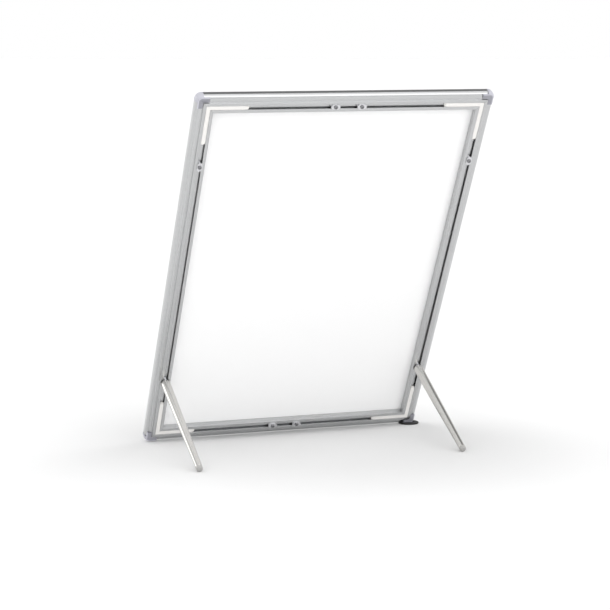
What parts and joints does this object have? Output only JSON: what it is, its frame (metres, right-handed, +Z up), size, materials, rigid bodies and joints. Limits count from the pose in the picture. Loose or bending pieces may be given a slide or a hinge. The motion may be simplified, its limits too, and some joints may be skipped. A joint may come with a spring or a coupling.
{
  "type": "leaning poster board",
  "caption": "Free-standing snap-frame poster board that leans back on two tapered rear legs held in T-slots, with hinged front rails that open to change the poster.",
  "frame": {"origin": "middle of the floor rectangle under the whole object, on the floor", "axes": "+Z up; +Y from the poster side to the leg side, the way the board leans; +X along the floor, to the left of someone behind the board"},
  "size_m": [0.5544, 0.3792, 0.6592],
  "materials": {
    "anodised_aluminium": "satin anodised, fine lengthwise extrusion lines",
    "turned_aluminium": "turned, satin, fine rings",
    "cap_plastic": "moulded, soft satin",
    "connector_plastic": "moulded, matte",
    "panel_white": "glossy",
    "poster_paper": "matte paper",
    "clear_sheet": "clear, glossy",
    "zinc_plated": "bright zinc",
    "spring_steel": "blued strip",
    "tip_plastic": "moulded, matte",
    "black_rubber": "matte"
  },
  "bodies": {
    "frame": {"back_panel": "panel_white", "base_rail_bottom": "anodised_aluminium", "base_rail_left": "anodised_aluminium", "base_rail_right": "anodised_aluminium", "base_rail_top": "anodised_aluminium", "clear_front_sheet": "clear_sheet", "corner_cap_bottom_left": "cap_plastic", "corner_cap_bottom_right": "cap_plastic", "corner_cap_top_left": "cap_plastic", "corner_cap_top_right": "cap_plastic", "corner_connector_bottom_left": "connector_plastic", "corner_connector_bottom_right": "connector_plastic", "corner_connector_top_left": "connector_plastic", "corner_connector_top_right": "connector_plastic", "leaf_spring_bottom_1": "spring_steel", "leaf_spring_bottom_2": "spring_steel", "leaf_spring_left_1": "spring_steel", "leaf_spring_left_2": "spring_steel", "leaf_spring_left_3": "spring_steel", "leaf_spring_right_1": "spring_steel", "leaf_spring_right_2": "spring_steel", "leaf_spring_right_3": "spring_steel", "leaf_spring_top_1": "spring_steel", "leaf_spring_top_2": "spring_steel", "poster_sheet": "poster_paper", "rubber_foot": "black_rubber"},
    "cover_top": {"snap_cover_top": "anodised_aluminium"},
    "cover_bottom": {"snap_cover_bottom": "anodised_aluminium"},
    "cover_left": {"snap_cover_left": "anodised_aluminium"},
    "cover_right": {"snap_cover_right": "anodised_aluminium"},
    "lug_top_1": {"slot_lug_top_1": "zinc_plated", "lug_screw_top_1": "zinc_plated"},
    "lug_top_2": {"slot_lug_top_2": "zinc_plated", "lug_screw_top_2": "zinc_plated"},
    "lug_bottom_1": {"slot_lug_bottom_1": "zinc_plated", "lug_screw_bottom_1": "zinc_plated"},
    "lug_bottom_2": {"slot_lug_bottom_2": "zinc_plated", "lug_screw_bottom_2": "zinc_plated"},
    "lug_left_upper": {"slot_lug_left_upper": "zinc_plated", "lug_screw_left_upper": "zinc_plated"},
    "lug_right_upper": {"slot_lug_right_upper": "zinc_plated", "lug_screw_right_upper": "zinc_plated"},
    "leg_lug_left": {"slot_lug_left_leg": "zinc_plated"},
    "leg_left": {"leg_left": "turned_aluminium", "leg_stud_left": "zinc_plated", "leg_tip_left": "tip_plastic"},
    "leg_lug_right": {"slot_lug_right_leg": "zinc_plated"},
    "leg_right": {"leg_right": "turned_aluminium", "leg_stud_right": "zinc_plated", "leg_tip_right": "tip_plastic"}
  },
  "joints": [
    {"name": "cover_top_open", "type": "hinge", "parent": "frame", "child": "cover_top", "pos_m": [0.00435, 0.17939, 0.65041], "axis": [-1, 0, 0], "range_deg": [0, 85]},
    {"name": "cover_bottom_open", "type": "hinge", "parent": "frame", "child": "cover_bottom", "pos_m": [0.00435, -0.17183, 0.00954], "axis": [1, 0, 0], "range_deg": [0, 50]},
    {"name": "cover_left_open", "type": "hinge", "parent": "frame", "child": "cover_left", "pos_m": [0.26975, 0.00378, 0.32998], "axis": [0, 0.4806, 0.8769], "range_deg": [0, 85]},
    {"name": "cover_right_open", "type": "hinge", "parent": "frame", "child": "cover_right", "pos_m": [-0.26105, 0.00378, 0.32998], "axis": [0, -0.4806, -0.8769], "range_deg": [0, 85]},
    {"name": "lug_top_1_slide", "type": "slide", "parent": "frame", "child": "lug_top_1", "axis": [1, 0, 0], "range_m": [-0.015, 0.145]},
    {"name": "lug_top_2_slide", "type": "slide", "parent": "frame", "child": "lug_top_2", "axis": [-1, 0, 0], "range_m": [-0.015, 0.145]},
    {"name": "lug_bottom_1_slide", "type": "slide", "parent": "frame", "child": "lug_bottom_1", "axis": [1, 0, 0], "range_m": [-0.015, 0.145]},
    {"name": "lug_bottom_2_slide", "type": "slide", "parent": "frame", "child": "lug_bottom_2", "axis": [-1, 0, 0], "range_m": [-0.015, 0.145]},
    {"name": "lug_left_upper_slide", "type": "slide", "parent": "frame", "child": "lug_left_upper", "axis": [0, 0.4806, 0.8769], "range_m": [-0.2, 0.034]},
    {"name": "lug_right_upper_slide", "type": "slide", "parent": "frame", "child": "lug_right_upper", "axis": [0, 0.4806, 0.8769], "range_m": [-0.2, 0.034]},
    {"name": "leg_left_slide", "type": "slide", "parent": "frame", "child": "leg_lug_left", "axis": [0, 0.4806, 0.8769], "range_m": [-0.038, 0.2]},
    {"name": "leg_right_slide", "type": "slide", "parent": "frame", "child": "leg_lug_right", "axis": [0, 0.4806, 0.8769], "range_m": [-0.038, 0.2]},
    {"name": "leg_left_turn", "type": "hinge", "parent": "leg_lug_left", "child": "leg_left", "pos_m": [0.25435, -0.09741, 0.12202], "axis": [0, 0.8769, -0.4806], "range_deg": [0, 360]},
    {"name": "leg_right_turn", "type": "hinge", "parent": "leg_lug_right", "child": "leg_right", "pos_m": [-0.24565, -0.09741, 0.12202], "axis": [0, 0.8769, -0.4806], "range_deg": [0, 360]}
  ]
}
